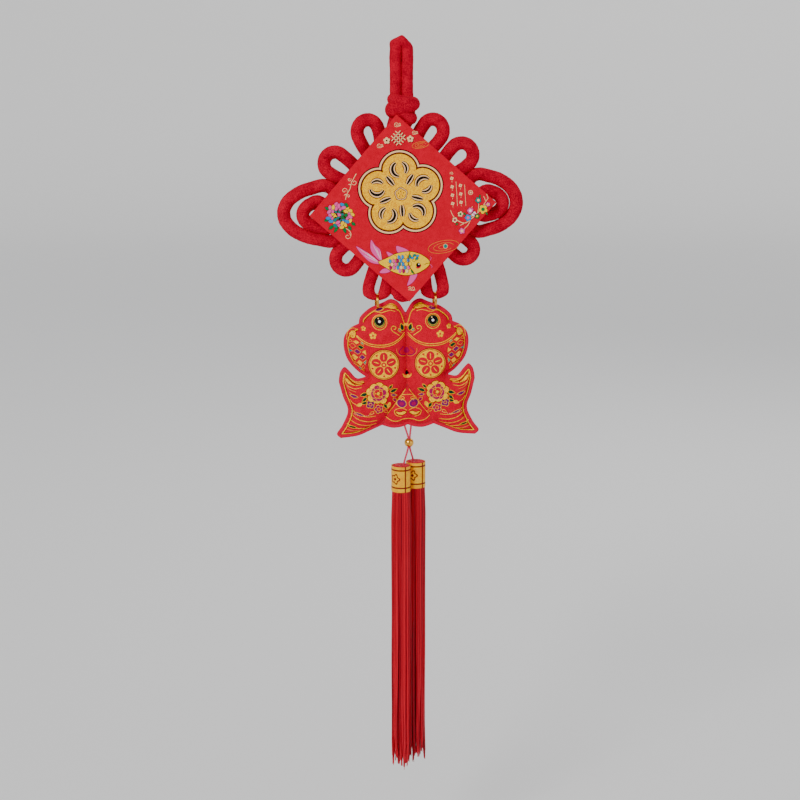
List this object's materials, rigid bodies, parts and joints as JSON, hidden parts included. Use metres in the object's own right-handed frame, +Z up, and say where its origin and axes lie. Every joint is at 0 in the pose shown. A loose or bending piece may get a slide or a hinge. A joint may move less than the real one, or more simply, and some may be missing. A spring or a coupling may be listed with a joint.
{
  "type": "chinese knot tassel",
  "caption": "Knotted cord wall hanging with a printed square board, a stuffed pair of fish below it on rings, a bead and two long banded tassels.",
  "frame": {"origin": "top of the hanging loop, where a nail or hook holds it", "axes": "+Z up, -Y towards the viewer from the printed front, +X to the viewer's right"},
  "size_m": [0.2218, 0.0304, 0.6985],
  "materials": {
    "cord": "soft crimson chenille cord",
    "board_cloth": "red flannel printed in gilt",
    "fish_plush": "short red plush printed in gilt and colours",
    "gilt_metal": "bright gilt plating",
    "thread": "lustrous dark red rayon thread",
    "gilt_band": "gilt paper foil wrapped round the head"
  },
  "bodies": {
    "root": {"knot_cord": "cord", "board": "board_cloth", "fish_pair": "fish_plush", "ring_left": "gilt_metal", "ring_right": "gilt_metal", "string": "thread", "bead": "gilt_metal", "tassel_left": "thread", "tassel_right": "thread", "band_left": "gilt_band", "band_right": "gilt_band"}
  },
  "joints": []
}
